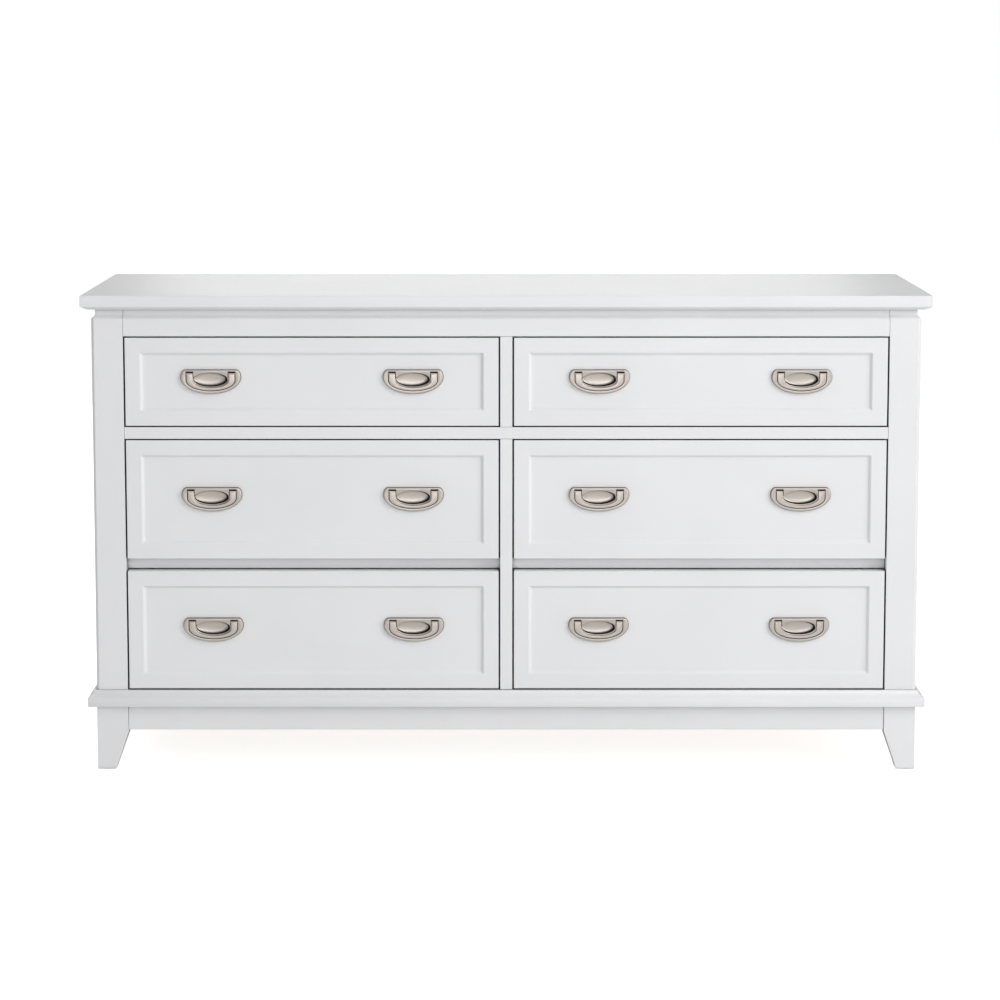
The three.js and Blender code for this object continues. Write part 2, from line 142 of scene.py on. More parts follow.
class DresserDrawers(bpy.types.PropertyGroup):
    """Sizes of the drawers."""

    arris: millimetres("Arris", "Rounding of a front's edges", 0.8)
    border: millimetres("Border", "Flat border round the sunk panel", 26.7)
    slope: millimetres("Slope", "Width of the slope round the sunk panel", 4.4)
    sink: millimetres("Sink", "Depth of the sunk panel", 5)
    relief: millimetres("Relief", "How much a front is planed off all round to run clear", 0.35)
    wall: millimetres("Wall", "Thickness of the box's sides", 12)
    wall_arris: millimetres("Wall arris", "Rounding of the box's edges", 1.5)
    tail: millimetres("Tail", "Height of a dovetail pin", 11)
    tail_spacing: millimetres("Tail spacing", "Distance between dovetail pins", 26)
    screw: millimetres("Screw", "Radius of a screw head", 4.2)


class DresserPull(bpy.types.PropertyGroup):
    """Sizes of a pull."""

    half_width: millimetres("Half width", "Middle of the plate to its side", 54)
    corner: millimetres("Corner", "Width of the plate's upper corners", 9)
    belly: millimetres("Belly", "Height of the plate's widest line", 8)
    edge: millimetres("Edge", "Straight edge of the plate", 1.4)
    dome_in: millimetres("Dome width", "Width of the plate's rounded rim", 2.9)
    dome_up: millimetres("Dome height", "Height of the plate's rounded rim", 4.3)
    pocket_half: millimetres("Pocket half width", "Middle of the plate to the pocket's side", 43.9)
    pocket_drop: millimetres("Pocket drop", "Depth of the pocket's curve", 18.9)
    pocket_top: millimetres("Pocket top", "Height of the slots over the bail", 18.5)
    tongue: millimetres("Tongue", "Half width of the plate over the cup", 30.6)
    cup_x: millimetres("Cup half width", "Half width of the finger cup", 31.6)
    cup_z: millimetres("Cup half height", "Half height of the finger cup", 13.2)
    cup_rise: millimetres("Cup rise", "Height of the finger cup's middle", 2.75)
    bail_out: millimetres("Bail half width", "Middle of the bail to its outer side", 43.0)
    bail_in: millimetres("Bail opening", "Half width of the bail's opening", 31.9)
    bail_drop: millimetres("Bail drop", "Depth of the bail's outer curve", 18.1)
    bail_rise: millimetres("Bail rise", "Height where the bail's curve starts", 2.3)
    bail: millimetres("Bail", "Thickness of the bail", 4.4)
    bail_round: millimetres("Bail rounding", "Rounding of the bail's edges", 1.3)
    pivot: millimetres("Pivot", "Height of the pivots", 14)
    pivot_out: millimetres("Pivot depth", "Pivots over the drawer's panel", 3.7)
    knuckle: millimetres("Knuckle", "Radius of the knuckles", 1.7)
    sweep: millimetres("Sweep", "Room kept round a pivot for the turning bail", 2.4)
    pin: millimetres("Pin", "Radius of the pivot pins", 1.0)


class DresserFinish(bpy.types.PropertyGroup):
    """Colours of the finishes, and of the painted shade in gaps and in the pulls' hollows."""

    paint: colour("Paint", "White lacquer", 0.834, 0.836, 0.846)
    paint_shade: colour("Paint shade", "Slightly thinner lacquer", 0.812, 0.815, 0.824)
    # Painted shade: the near black that narrow gaps and inside corners are darkened to.
    gap: colour("Gap shade", "Painted shade deep in the narrow gaps", 0.015, 0.015, 0.017)
    nickel: colour("Nickel", "Satin nickel", 0.65, 0.625, 0.565)
    nickel_shade: colour("Nickel shade", "Duller satin nickel", 0.47, 0.445, 0.395)
    # Dark nickel: the nails' own colour, and painted shade and dark reflection on the pulls' rims and
    # pockets.
    nickel_dark_and_shade: colour("Nickel dark and shade", "Dark nickel, and painted shade in the pulls' recesses and rims", 0.10, 0.09, 0.08)
    wood: colour("Wood", "Sealed drawer wood", 0.72, 0.54, 0.34)
    wood_shade: colour("Wood grain", "Grain of the drawer wood", 0.50, 0.34, 0.18)
    board: colour("Board", "Thin board of the back and bottoms", 0.62, 0.46, 0.30)
    board_shade: colour("Board fibre", "Fibres of the thin board", 0.44, 0.31, 0.19)


class DresserStudio(bpy.types.PropertyGroup):
    """Camera and lights."""

    camera: bpy.props.FloatVectorProperty(
        name="Camera", description="Place of the camera", default=(-0.0111, -5.3207, 1.2968), subtype="XYZ",
        unit="LENGTH",
    )
    tilt: bpy.props.FloatProperty(
        name="Tilt", description="How far the camera looks down", default=0.1158, subtype="ANGLE"
    )
    lens: bpy.props.FloatProperty(
        name="Lens", description="Focal length, in millimetres", default=104.46, min=1
    )
    shift: bpy.props.FloatProperty(name="Shift", description="Upward shift of the lens", default=-0.12)
    window_low: watts("Low window", "Power of the low light on the right", 60)
    window_high: watts("High window", "Power of the high light on the right", 50)
    front: watts("Front", "Power of the front light", 50)
    ceiling: watts("Ceiling", "Power of the ceiling light", 22)
    rear_left: watts("Rear left", "Power of the light behind the left end", 45)
    rear_low: watts("Low rear", "Power of the low light straight behind", 30)
    fill: share("Fill", "Brightness of the room", 0.29, 2)
    floor: share("Floor", "White that the floor adds to its own shading", 0.80, 2)


SETTINGS = {
    "dresser_case": DresserCase,
    "dresser_drawers": DresserDrawers,
    "dresser_pull": DresserPull,
    "dresser_finish": DresserFinish,
    "dresser_studio": DresserStudio,
}


# ---- Materials -------------------------------------------------------------------------------


def group(name, inputs, outputs):
    """An empty shader node group with these inputs and outputs, each name, socket type, default."""
    tree = bpy.data.node_groups.new(name, "ShaderNodeTree")
    for direction, sockets in (("INPUT", inputs), ("OUTPUT", outputs)):
        for label, kind, value in sockets:
            socket = tree.interface.new_socket(name=label, in_out=direction, socket_type=f"NodeSocket{kind}")
            if value is not None:
                socket.default_value = value
    return tree, tree.nodes.new("NodeGroupInput"), tree.nodes.new("NodeGroupOutput")


def node(tree, kind, links=(), **settings):
    """A shader node; links are (input name or number, output socket or value)."""
    made = tree.nodes.new(f"ShaderNode{kind}")
    for key, value in settings.items():
        setattr(made, key, value)
    for target, source in links:
        if isinstance(source, bpy.types.NodeSocket):
            tree.links.new(source, made.inputs[target])
        else:
            made.inputs[target].default_value = source
    return made


def noise(tree, where, scale, detail=3.0, rough=0.5):
    links = [("Vector", where), ("Scale", scale), ("Detail", detail), ("Roughness", rough)]
    return node(tree, "TexNoise", links)


def blend(tree, factor, first, second):
    mix = node(tree, "Mix", data_type="RGBA")
    for socket, source in zip((mix.inputs[0], mix.inputs[6], mix.inputs[7]), (factor, first, second)):
        if isinstance(source, bpy.types.NodeSocket):
            tree.links.new(source, socket)
        else:
            socket.default_value = source
    return mix.outputs[2]


def ranged(tree, value, low, high, to_low, to_high):
    return node(
        tree, "MapRange",
        [("Value", value), ("From Min", low), ("From Max", high), ("To Min", to_low), ("To Max", to_high)],
    ).outputs[0]


def sprayed_film():
    """Lacquer: slow changes of tone, painted shade that darkens the narrow gaps, and the fine unevenness that
    spraying leaves.
    """
    tree, given, made = group(
        "sprayed_film",
        [("Colour", "Color", None), ("Thin Colour", "Color", None), ("Gap Colour", "Color", None),
         ("Low Gloss", "Float", 0.34), ("High Gloss", "Float", 0.46)],
        [("Colour", "Color", None), ("Roughness", "Float", None), ("Height", "Float", None)],
    )
    where = node(tree, "TexCoord").outputs["Object"]
    slow = noise(tree, where, 5.0, 4.0).outputs[0]
    specks = noise(tree, where, 90.0, 2.0).outputs[0]
    peel = noise(tree, where, 420.0, 2.0).outputs[0]
    tone = ranged(tree, slow, 0.35, 0.65, 0.0, 1.0)
    film = blend(tree, tone, given.outputs["Colour"], given.outputs["Thin Colour"])
    # Painted shade: ambient occlusion within the gap reach blends the lacquer towards the gap shade colour,
    # so narrow gaps and inside corners read dark.
    open_air = node(tree, "AmbientOcclusion", [("Distance", GAP_REACH)], samples=6).outputs["AO"]
    exposed = ranged(tree, open_air, 0.22, 0.55, 0.0, 1.0)
    tree.links.new(blend(tree, exposed, given.outputs["Gap Colour"], film), made.inputs["Colour"])
    sheen = node(tree, "MapRange", [("Value", specks), ("From Min", 0.3), ("From Max", 0.7),
                 ("To Min", given.outputs["Low Gloss"]), ("To Max", given.outputs["High Gloss"])]).outputs[0]
    tree.links.new(sheen, made.inputs["Roughness"])
    height = node(tree, "Math", [(0, peel), (1, 0.5), (2, slow)], operation="MULTIPLY_ADD").outputs[0]
    tree.links.new(height, made.inputs["Height"])
    return tree


def long_grain():
    """Wood grain: rings stretched along the board, with fine pores."""
    tree, given, made = group(
        "long_grain",
        [("Light", "Color", None), ("Dark", "Color", None), ("Turn", "Vector", None)],
        [("Colour", "Color", None), ("Roughness", "Float", None), ("Height", "Float", None)],
    )
    where = node(tree, "TexCoord").outputs["Object"]
    turned = node(tree, "Mapping", [("Vector", where), ("Rotation", given.outputs["Turn"])]).outputs[0]
    long = node(tree, "Mapping", [("Vector", turned), ("Scale", (1.2, 22.0, 22.0))]).outputs[0]
    figure = node(tree, "TexNoise", [("Vector", long), ("Scale", 1.5), ("Detail", 4.0), ("Roughness", 0.55),
                                     ("Distortion", 0.8)]).outputs[0]
    lines = node(tree, "Mapping", [("Vector", turned), ("Scale", (6.0, 320.0, 320.0))]).outputs[0]
    pores = noise(tree, lines, 2.0, 2.0).outputs[0]
    rings = ranged(tree, figure, 0.35, 0.68, 0.0, 0.8)
    base = blend(tree, rings, given.outputs["Light"], given.outputs["Dark"])
    speck = ranged(tree, pores, 0.52, 0.72, 0.0, 0.35)
    tree.links.new(blend(tree, speck, base, given.outputs["Dark"]), made.inputs["Colour"])
    tree.links.new(ranged(tree, pores, 0.3, 0.7, 0.38, 0.58), made.inputs["Roughness"])
    tree.links.new(pores, made.inputs["Height"])
    return tree


def brushed_metal():
    """Satin metal: very fine lines along X and a slow change of tone."""
    tree, given, made = group(
        "brushed_metal",
        [("Bright", "Color", None), ("Dull", "Color", None), ("Smooth", "Float", 0.15),
         ("Rough", "Float", 0.27)],
        [("Colour", "Color", None), ("Roughness", "Float", None), ("Height", "Float", None)],
    )
    where = node(tree, "TexCoord").outputs["Object"]
    along = node(tree, "Mapping", [("Vector", where), ("Scale", (0.08, 1.0, 1.0))]).outputs[0]
    lines = noise(tree, along, 3200.0, 2.0).outputs[0]
    cloud = noise(tree, where, 60.0, 3.0).outputs[0]
    tone = ranged(tree, cloud, 0.3, 0.7, 0.0, 0.8)
    tree.links.new(blend(tree, tone, given.outputs["Bright"], given.outputs["Dull"]), made.inputs["Colour"])
    sheen = node(tree, "MapRange", [("Value", lines), ("From Min", 0.25), ("From Max", 0.75),
                 ("To Min", given.outputs["Smooth"]), ("To Max", given.outputs["Rough"])]).outputs[0]
    tree.links.new(sheen, made.inputs["Roughness"])
    tree.links.new(lines, made.inputs["Height"])
    return tree


def finish(name, source, values, metallic=0.0, bump=0.15, depth=0.0002, specular=0.5):
    """A material that takes its colour, roughness and relief from a node group."""
    made = bpy.data.materials.new(name)
    made.use_nodes = True
    tree = made.node_tree
    tree.nodes.clear()
    pattern = tree.nodes.new("ShaderNodeGroup")
    pattern.node_tree = source
    for key, value in values.items():
        pattern.inputs[key].default_value = value
    height = pattern.outputs["Height"]
    relief = node(tree, "Bump", [("Strength", bump), ("Distance", depth), ("Height", height)])
    shader = node(tree, "BsdfPrincipled", [
        ("Base Color", pattern.outputs["Colour"]), ("Roughness", pattern.outputs["Roughness"]),
        ("Normal", relief.outputs[0]), ("Metallic", metallic), ("Specular IOR Level", specular)])
    node(tree, "OutputMaterial", [("Surface", shader.outputs[0])])
    return made


def opaque(rgb, scale=1.0):
    return (*[c * scale for c in rgb], 1.0)


class DRESSER_OT_finishes(bpy.types.Operator):
    """Make the paint, metal, wood and board"""

    bl_idname = "dresser.finishes"
    bl_label = "Finishes"

    def execute(self, context):
        f = context.scene.dresser_finish
        film, grain, metal = sprayed_film(), long_grain(), brushed_metal()
        finish("white_paint", film,
               {"Colour": opaque(f.paint), "Thin Colour": opaque(f.paint_shade), "Gap Colour": opaque(f.gap)})
        metals = {
            "satin_nickel": {"Bright": opaque(f.nickel), "Dull": opaque(f.nickel_shade)},
            "darkened_nickel": {"Bright": opaque(f.nickel_dark_and_shade), "Dull": opaque(f.nickel_dark_and_shade, 0.6)},
            "zinc": {"Bright": (0.62, 0.62, 0.64, 1), "Dull": (0.42, 0.42, 0.44, 1), "Smooth": 0.3,
                     "Rough": 0.5},
        }
        for name, values in metals.items():
            finish(name, metal, values, 1.0, 0.1, 0.00005)
        # Painted shade: near black for the crescent in each cup, the slots over the bails and the crosses in
        # the screw heads.
        finish("dark_recess", film,
               {"Colour": (0.012, 0.011, 0.010, 1), "Thin Colour": (0.02, 0.018, 0.016, 1),
                "Gap Colour": (0.01, 0.01, 0.01, 1), "Low Gloss": 0.6, "High Gloss": 0.8}, specular=0.2)
        finish("glide_plastic", film,
               {"Colour": (0.34, 0.33, 0.31, 1), "Thin Colour": (0.28, 0.27, 0.26, 1),
                "Gap Colour": (0.1, 0.1, 0.1, 1)})
        turns = {"wood_along_x": (0, 0, 0), "wood_along_y": (0, 0, RIGHT_ANGLE),
                 "wood_along_z": (0, RIGHT_ANGLE, 0), "wood_end": (0, RIGHT_ANGLE, 0)}
        for name, turn in turns.items():
            dull = 0.8 if name == "wood_end" else 1.0
            values = {"Light": opaque(f.wood, dull), "Dark": opaque(f.wood_shade, dull), "Turn": turn}
            finish(name, grain, values, bump=0.25)
        values = {"Light": opaque(f.board), "Dark": opaque(f.board_shade), "Turn": (0, 0, 0)}
        finish("thin_board", grain, values, bump=0.2)
        return {"FINISHED"}


# ---- Shaping ---------------------------------------------------------------------------------


def once(items):
    """Each item once, in the order met, so that every run builds alike."""
    return list(dict.fromkeys(items))


def block(bm, low, high, material=0):
    """A rectangular board between two corners."""
    low, high = Vector(low), Vector(high)
    verts = bmesh.ops.create_cube(bm, size=1)["verts"]
    bmesh.ops.scale(bm, vec=high - low, verts=verts)
    bmesh.ops.translate(bm, vec=(low + high) / 2, verts=verts)
    for face in {f for v in verts for f in v.link_faces}:
        face.material_index = material
    return verts


def settle(bm):
    """Orders a mesh by place alone, since extruding and spinning leave a new order in every run."""
    for items, place in (
        (bm.verts, lambda vert: vert.co),
        (bm.edges, lambda edge: (edge.verts[0].co + edge.verts[1].co) / 2),
        (bm.faces, lambda face: face.calc_center_median()),
    ):
        rows = sorted(items, key=lambda item: [round(c, 6) for c in place(item)])
        rank = {item: index for index, item in enumerate(rows)}
        items.sort(key=rank.get)
        items.index_update()


def ease(bm, width, segments=2, edges=None):
    """Rounds the sharp edges."""
    bmesh.ops.recalc_face_normals(bm, faces=bm.faces)
    wanted = edges or bm.edges[:]
    for edge in bm.edges:
        edge.tag = False
    for edge in wanted:
        edge.tag = True
    settle(bm)
    sharp = [e for e in bm.edges if e.tag and len(e.link_faces) == 2 and e.calc_face_angle(0) > SHARP]
    bmesh.ops.bevel(bm, geom=sharp, offset=width, offset_type="OFFSET", segments=segments, profile=0.5,
                    affect="EDGES", clamp_overlap=True, material=-1)


def swept(bm, outline, along, material=0):
    """A length of board from a flat outline."""
    face = bm.faces.new([bm.verts.new(p) for p in outline])
    face.material_index = material
    grown = bmesh.ops.extrude_face_region(bm, geom=[face])["geom"]
    bmesh.ops.translate(bm, vec=along, verts=[g for g in grown if isinstance(g, bmesh.types.BMVert)])


def plank(low, high, width, segments=2):
    """A rectangular board with eased edges."""
    bm = bmesh.new()
    block(bm, low, high)
    ease(bm, width, segments)
    return bm


def moulded(outline, along, width):
    """A length of board from a flat outline, with eased edges."""
    bm = bmesh.new()
    swept(bm, outline, along)
    ease(bm, width)
    return bm


def sheet(bm, height, x0, x1, y0, y1):
    """A level rectangle."""
    return bm.faces.new([bm.verts.new((x, y, height)) for x, y in ((x0, y0), (x1, y0), (x1, y1), (x0, y1))])


def rise(bm, face, height, x0, x1, y0, y1):
    """Draws a level rectangle up to a height and to a new size."""
    grown = bmesh.ops.extrude_face_region(bm, geom=[face])["geom"]
    top = next(g for g in grown if isinstance(g, bmesh.types.BMFace))
    xs, ys = [v.co.x for v in top.verts], [v.co.y for v in top.verts]
    old = Vector((min(xs), min(ys), top.verts[0].co.z))
    scale = Matrix.Diagonal(((x1 - x0) / (max(xs) - min(xs)), (y1 - y0) / (max(ys) - min(ys)), 1, 1))
    place = Matrix.Translation((x0, y0, height)) @ scale @ Matrix.Translation(-old)
    bmesh.ops.transform(bm, matrix=place, verts=top.verts)
    if any(len(e.link_faces) > 2 for e in face.edges):
        bmesh.ops.delete(bm, geom=[face], context="FACES_ONLY")
    return top


def saw(bm, place, waste):
    """Cuts off the side that the waste direction points to, and closes the cut."""
    settle(bm)
    everything = bm.verts[:] + bm.edges[:] + bm.faces[:]
    cut = bmesh.ops.bisect_plane(bm, geom=everything, plane_co=place, plane_no=waste,
                                 clear_outer=True)["geom_cut"]
    bmesh.ops.contextual_create(bm, geom=[g for g in cut if isinstance(g, bmesh.types.BMEdge)])


def deepen(bm, edges, matrix):
    """Draws an open loop of edges on to a new place, and returns the new loop."""
    grown = bmesh.ops.extrude_edge_only(bm, edges=edges)["geom"]
    bmesh.ops.transform(bm, matrix=matrix, verts=[g for g in grown if isinstance(g, bmesh.types.BMVert)])
    return [g for g in grown if isinstance(g, bmesh.types.BMEdge)]


def oval(bm, centre, half_x, half_y, segments, turn=Matrix()):
    """An open oval loop; turn stands its plane up."""
    place = Matrix.Translation(centre) @ turn @ Matrix.Diagonal((half_x, half_y, 1, 1))
    verts = bmesh.ops.create_circle(bm, cap_ends=False, radius=1, segments=segments, matrix=place)["verts"]
    return once(e for v in verts for e in v.link_edges)


def reach(centre, old, new):
    """Moves and scales one oval on to another; each is half_x, half_y, and the new one has its own centre."""
    return (Matrix.Translation(new[2]) @ Matrix.Diagonal((new[0] / old[0], new[1] / old[1], 1, 1))
            @ Matrix.Translation(-Vector(centre)))


def arc(bm, centre, half_x, half_y, start, sweep, steps):
    """Points along part of an oval, in order."""
    first = bm.verts.new((math.cos(start), math.sin(start), 0))
    spun = bmesh.ops.spin(bm, geom=[first], cent=(0, 0, 0), axis=(0, 0, 1), angle=sweep, steps=steps)
    last = next(g for g in spun["geom_last"] if isinstance(g, bmesh.types.BMVert))
    chain = [first]
    while chain[-1] is not last:
        chain.append(next(o for e in chain[-1].link_edges for o in e.verts if o not in chain))
    place = Matrix.Translation(centre) @ Matrix.Diagonal((half_x, half_y, 1, 1))
    bmesh.ops.transform(bm, matrix=place, verts=chain)
    return chain


def ring(bm, verts):
    """Edges round a closed row of points."""
    pairs = zip(verts, verts[1:] + verts[:1])
    return [bm.edges.get(pair) or bm.edges.new(pair) for pair in pairs]


def bar(bm, radius, x0, x1, y, z, segments):
    """A round bar along X."""
    place = Matrix.Translation(((x0 + x1) / 2, y, z)) @ Matrix.Rotation(RIGHT_ANGLE, 4, "Y")
    verts = bmesh.ops.create_cone(bm, cap_ends=True, segments=segments, radius1=radius, radius2=radius,
                                  depth=x1 - x0, matrix=place)["verts"]
    ease(bm, radius * 0.15, 1, once(e for v in verts for e in v.link_edges if e.calc_face_angle(0) > 1))


def stud(bm, place, radius, height, direction):
    """A low round head that stands on a surface."""
    turn = Vector(direction).to_track_quat("Z", "Y").to_matrix().to_4x4()
    size = Matrix.Diagonal((radius, radius, height, 1))
    bmesh.ops.create_uvsphere(bm, u_segments=12, v_segments=6, radius=1,
                              matrix=Matrix.Translation(place) @ turn @ size)


def piece(name, bm, slot, materials, body=CARCASS, nodes=(), smooth=0):
    """Makes a finished piece of a mesh and sets it on its body; smooth is the sharpest angle shaded round."""
    bmesh.ops.recalc_face_normals(bm, faces=bm.faces)
    if smooth:
        for face in bm.faces:
            face.smooth = True
        for edge in bm.edges:
            edge.smooth = edge.calc_face_angle(0) < math.radians(smooth)
    settle(bm)
    data = bpy.data.meshes.new(name)
    bm.to_mesh(data)
    bm.free()
    for material in materials:
        data.materials.append(bpy.data.materials[material])
    made = bpy.data.objects.new(name, data)
    bpy.context.scene.collection.objects.link(made)
    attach(made, body)
    if nodes:
        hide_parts(*nodes)


def painted(name, bm, **details):
    piece(name, bm, "painted_wood", ["white_paint"], **details)


# ---- Case ------------------------------------------------------------------------------------


class DRESSER_OT_top_board(bpy.types.Operator):
    """Build the top board with the slope under its edge"""

    bl_idname = "dresser.top_board"
    bl_label = "Top board"

    def execute(self, context):
        case = context.scene.dresser_case
        low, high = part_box("top_panel")
        inset = case.chamfer_depth
        bm = bmesh.new()
        face = sheet(bm, low.z, low.x + inset, high.x - inset, low.y + inset, high.y)
        for height in (low.z + case.chamfer_height, high.z):
            face = rise(bm, face, height, low.x, high.x, low.y, high.y)
        ease(bm, case.top_arris, 3)
        painted("board_top", bm, nodes=["top_panel"])
        return {"FINISHED"}


class DRESSER_OT_posts(bpy.types.Operator):
    """Build the four posts, with their tapered feet, necks and glides"""

    bl_idname = "dresser.posts"
    bl_label = "Posts"

    def execute(self, context):
        case = context.scene.dresser_case
        base_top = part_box("base_moulding")[1].z
        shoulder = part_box("top_rail")[1].z - case.neck_height - case.shoulder
        for side, sign in SIDES:
            for end, back in (("front", -1), ("rear", 1)):
                self.post(case, f"post_{end}_{side}", sign, back, base_top, shoulder)
        return {"FINISHED"}

    def post(self, case, name, sign, back, base_top, shoulder):
        low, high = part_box(name)
        out_x, out_y = (low.x, high.x)[sign > 0], (low.y, high.y)[back > 0]
        width = high.x - low.x

        def section(size, neck):
            x = sorted((out_x - sign * neck, out_x - sign * size))
            y = sorted((out_y - back * (neck if back < 0 else 0), out_y - back * size))
            return (*x, *y)

        bm = bmesh.new()
        face = sheet(bm, case.glide, *section(case.foot, 0))
        levels = [(case.taper, width, 0), (base_top, width, 0), (shoulder, width, 0),
                  (shoulder + case.shoulder, width, case.neck), (high.z, width, case.neck)]
        for height, size, neck in levels:
            face = rise(bm, face, height, *section(size, neck))
        if back < 0:
            def outer(vert):
                away = abs(vert.co.x - out_x) + abs(vert.co.y - out_y)
                return away < NEAR and vert.co.z > base_top - NEAR

            corner = [e for e in bm.edges if all(outer(v) for v in e.verts)]
            bmesh.ops.bevel(bm, geom=corner, offset=case.post_chamfer, offset_type="OFFSET", segments=1,
                            profile=0.5, affect="EDGES", material=-1)
        ease(bm, case.arris)
        painted(name.replace("post", "leg"), bm, nodes=[name])

        foot = section(case.foot, 0)
        middle = ((foot[0] + foot[1]) / 2, (foot[2] + foot[3]) / 2)
        bm = bmesh.new()
        place = Matrix.Translation((*middle, case.glide / 2))
        bmesh.ops.create_cone(bm, cap_ends=True, segments=32, radius1=case.glide_radius * 0.94,
                              radius2=case.glide_radius, depth=case.glide, matrix=place)
        ease(bm, case.glide / 4)
        piece(name.replace("post", "glide"), bm, "painted_wood", ["glide_plastic"])


class DRESSER_OT_face_frame(bpy.types.Operator):
    """Build the rails, stiles and apron of the front"""

    bl_idname = "dresser.face_frame"
    bl_label = "Face frame"

    def execute(self, context):
        case = context.scene.dresser_case
        low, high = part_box("top_rail")
        neck, shoulder = high.z - case.neck_height, high.z - case.neck_height - case.shoulder
        outline = [(low.x, y, z) for y, z in (
            (low.y, low.z), (high.y, low.z), (high.y, high.z), (low.y + case.neck, high.z),
            (low.y + case.neck, neck), (low.y, shoulder))]
        painted("rail_top", moulded(outline, (high.x - low.x, 0, 0), case.arris), nodes=["top_rail"])

        for node_name, name in (("mid_rail", "rail_middle"), ("stile_upper", "upright_upper"),
                                ("stile_lower", "upright_lower")):
            painted(name, plank(*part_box(node_name), case.arris), nodes=[node_name])

        low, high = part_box("apron")
        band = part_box("base_moulding")[0].z
        step = low.y + case.apron_step
        outline = [(low.x, y, z) for y, z in (
            (step, low.z), (high.y, low.z), (high.y, high.z), (low.y, high.z), (low.y, band), (step, band))]
        painted("board_apron", moulded(outline, (high.x - low.x, 0, 0), case.arris), nodes=["apron"])
        return {"FINISHED"}


class DRESSER_OT_sides(bpy.types.Operator):
    """Build the sunk side panels"""

    bl_idname = "dresser.sides"
    bl_label = "Sides"

    def execute(self, context):
        case = context.scene.dresser_case
        band, base_top = (corner.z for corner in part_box("base_moulding"))
        for side, sign in SIDES:
            low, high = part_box(f"side_panel_{side}")
            inside, outside = sorted((abs(low.x), abs(high.x)))
            step, sunk = outside - case.apron_step, inside + case.side_board
            outline = [(sign * x, low.y, z) for x, z in (
                (inside, low.z), (step, low.z), (step, band), (outside, band), (outside, base_top),
                (sunk, base_top), (sunk, high.z), (inside, high.z))]
            bm = moulded(outline, (0, high.y - low.y, 0), case.arris)
            painted(f"board_side_{side}", bm, nodes=[f"side_panel_{side}"])
        return {"FINISHED"}


class DRESSER_OT_back(bpy.types.Operator):
    """Build the thin back, its middle strip and its nails"""

    bl_idname = "dresser.back"
    bl_label = "Back"

    def execute(self, context):
        case = context.scene.dresser_case
        low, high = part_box("back_panel")
        piece("board_back", plank(low, high, case.arris), "panel_board", ["thin_board"], nodes=["back_panel"])

        strip = case.sill_rail / 2
        thick = (high.y - low.y) / 2
        bm = plank((-strip, high.y, low.z + strip), (strip, high.y + thick, high.z - strip), case.arris)
        piece("strip_back", bm, "panel_board", ["wood_along_z"])

        bm = bmesh.new()
        edge, nail_radius, nail_height = case.guide, 0.0035, 0.001
        columns = round((high.x - low.x) / case.nail_spacing)
        rows = round((high.z - low.z) / case.nail_spacing)
        spots = set()
        for i in range(columns + 1):
            x = low.x + edge + i * (high.x - low.x - 2 * edge) / columns
            spots |= {(x, low.z + edge), (x, high.z - edge)}
        for i in range(rows + 1):
            z = low.z + edge + i * (high.z - low.z - 2 * edge) / rows
            spots |= {(low.x + edge, z), (high.x - edge, z)}
        for x, z in sorted(spots):
            stud(bm, (x, high.y, z), nail_radius, nail_height, (0, 1, 0))
        piece("nails_back", bm, "panel_board", ["darkened_nickel"], smooth=60)
        return {"FINISHED"}


class DRESSER_OT_moulding(bpy.types.Operator):
    """Build the mitred base moulding"""

    bl_idname = "dresser.moulding"
    bl_label = "Base moulding"

    def execute(self, context):
        case = context.scene.dresser_case
        low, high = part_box("base_moulding")
        post_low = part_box("post_front_left")[0]
        half, face = -post_low.x, post_low.y
        stand = high.x - half
        lip = case.cove_lip
        top_lip = high.z - 0.0015
        knots = [Vector((stand, low.z + case.cove_bottom, 0)), Vector((lip + 0.001, top_lip - 0.006, 0)),
                 Vector((lip, top_lip, 0))]
        handles = [knots[0].lerp(knots[1], 2 / 3), knots[2].lerp(knots[1], 2 / 3)]
        cove = interpolate_bezier(knots[0], handles[0], handles[1], knots[2], 9)
        profile = [(HAIR, low.z), (stand, low.z), *[(p.x, p.y) for p in cove], (lip - 0.0008, high.z),
                   (HAIR, high.z)]

        bm = bmesh.new()
        swept(bm, [(low.x - stand, face - out, z) for out, z in profile], (2 * (half + 2 * stand), 0, 0))
        for _, sign in SIDES:
            saw(bm, (sign * (half - HAIR / 2), face, 0), (sign, 1, 0))
        ease(bm, case.arris, 2, [e for e in bm.edges if e.is_manifold and e.calc_face_angle(0) > 0.7])
        painted("moulding_front", bm, nodes=["base_moulding"], smooth=30)
        for side, sign in SIDES:
            bm = bmesh.new()
            outline = [(sign * (half + out), face - 2 * stand, z) for out, z in profile]
            swept(bm, outline, (0, high.y - face + 2 * stand, 0))
            saw(bm, (sign * half, face, 0), (-sign, -1, 0))
            ease(bm, case.arris, 2, [e for e in bm.edges if e.is_manifold and e.calc_face_angle(0) > 0.7])
            painted(f"moulding_{side}", bm, smooth=30)
        return {"FINISHED"}


